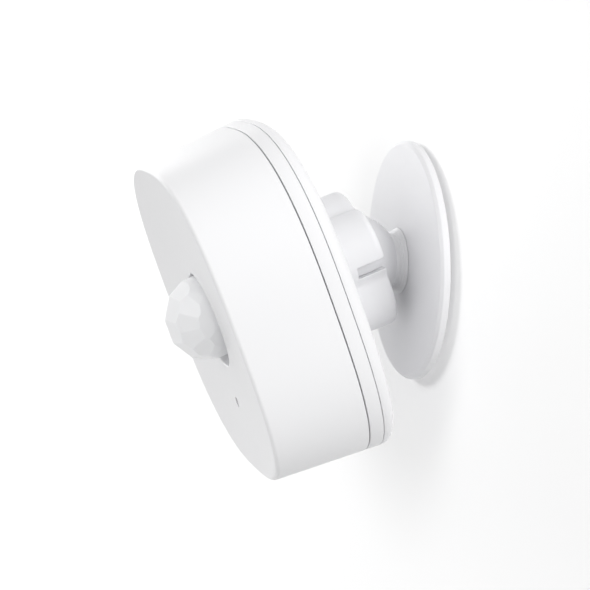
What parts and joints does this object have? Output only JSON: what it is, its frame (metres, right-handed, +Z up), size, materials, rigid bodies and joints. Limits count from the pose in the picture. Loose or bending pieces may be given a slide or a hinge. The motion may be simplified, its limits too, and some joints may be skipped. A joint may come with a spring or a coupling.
{
  "type": "motion sensor",
  "caption": "Rounded-square battery motion sensor with a faceted lens in a dished face, held on a round wall disc by a ball joint with a lobed, slotted collar.",
  "frame": {"origin": "centre of the foam tape's back face, where the stand meets the wall", "axes": "+Z up, +Y into the wall, so the sensor looks out along -Y and tilts down from there"},
  "size_m": [0.0422, 0.0342, 0.0435],
  "materials": {
    "white_plastic": "fine satin moulding",
    "frame_plastic": "satin moulding",
    "lens_plastic": "milky, slightly glossy",
    "smoked_plastic": "smoked and clear",
    "grey_plastic": "satin",
    "foam_tape": "closed foam",
    "soft_rubber": "matte",
    "steel": "plated",
    "cell": "polished steel can",
    "brass": "plated spring strip",
    "board": "solder mask",
    "chip_black": "moulded epoxy"
  },
  "bodies": {
    "wall_base": {"adhesive_pad": "foam_tape", "base_disc": "white_plastic", "ball_screw": "steel"},
    "ball": {"ball_stud": "white_plastic"},
    "socket_pad": {"friction_pad": "soft_rubber"},
    "rear_cover": {"socket_collar": "white_plastic", "back_plate": "white_plastic", "cover_ring": "white_plastic", "collar_screw_1": "steel", "collar_screw_2": "steel", "collar_screw_3": "steel", "collar_screw_4": "steel"},
    "head": {"front_housing": "white_plastic", "inner_frame": "frame_plastic", "frame_screw_1": "steel", "frame_screw_2": "steel", "frame_screw_3": "steel", "frame_screw_4": "steel", "lens": "lens_plastic", "light_pipe": "smoked_plastic", "status_led": "lens_plastic", "circuit_board": "board", "board_screw_1": "steel", "board_screw_2": "steel", "pir_can": "steel", "pir_window": "chip_black", "radio_shield": "steel", "chip_antenna": "chip_black", "coin_cell": "cell", "contact_negative": "brass", "contact_positive": "brass", "switch_body": "chip_black"},
    "button": {"pair_button": "grey_plastic"}
  },
  "joints": [
    {"name": "pan", "type": "hinge", "parent": "wall_base", "child": "ball", "pos_m": [0, -0.0085, 0], "axis": [0, -1, 0], "continuous": true},
    {"name": "tilt", "type": "hinge", "parent": "ball", "child": "socket_pad", "pos_m": [0, -0.0085, 0], "axis": [1, 0, 0], "range_deg": [-50, 10]},
    {"name": "roll", "type": "hinge", "parent": "socket_pad", "child": "rear_cover", "pos_m": [0, -0.0085, 0], "axis": [0, -0.9397, -0.342], "continuous": true},
    {"name": "cover_twist", "type": "hinge", "parent": "rear_cover", "child": "head", "pos_m": [0, -0.0085, 0], "axis": [0, -0.9397, -0.342], "range_deg": [0, 25]},
    {"name": "pair_press", "type": "slide", "parent": "head", "child": "button", "axis": [0, -0.9397, -0.342], "range_m": [0, 0.00025], "stiffness_N_per_m": 400, "springref_m": -0.0003}
  ]
}
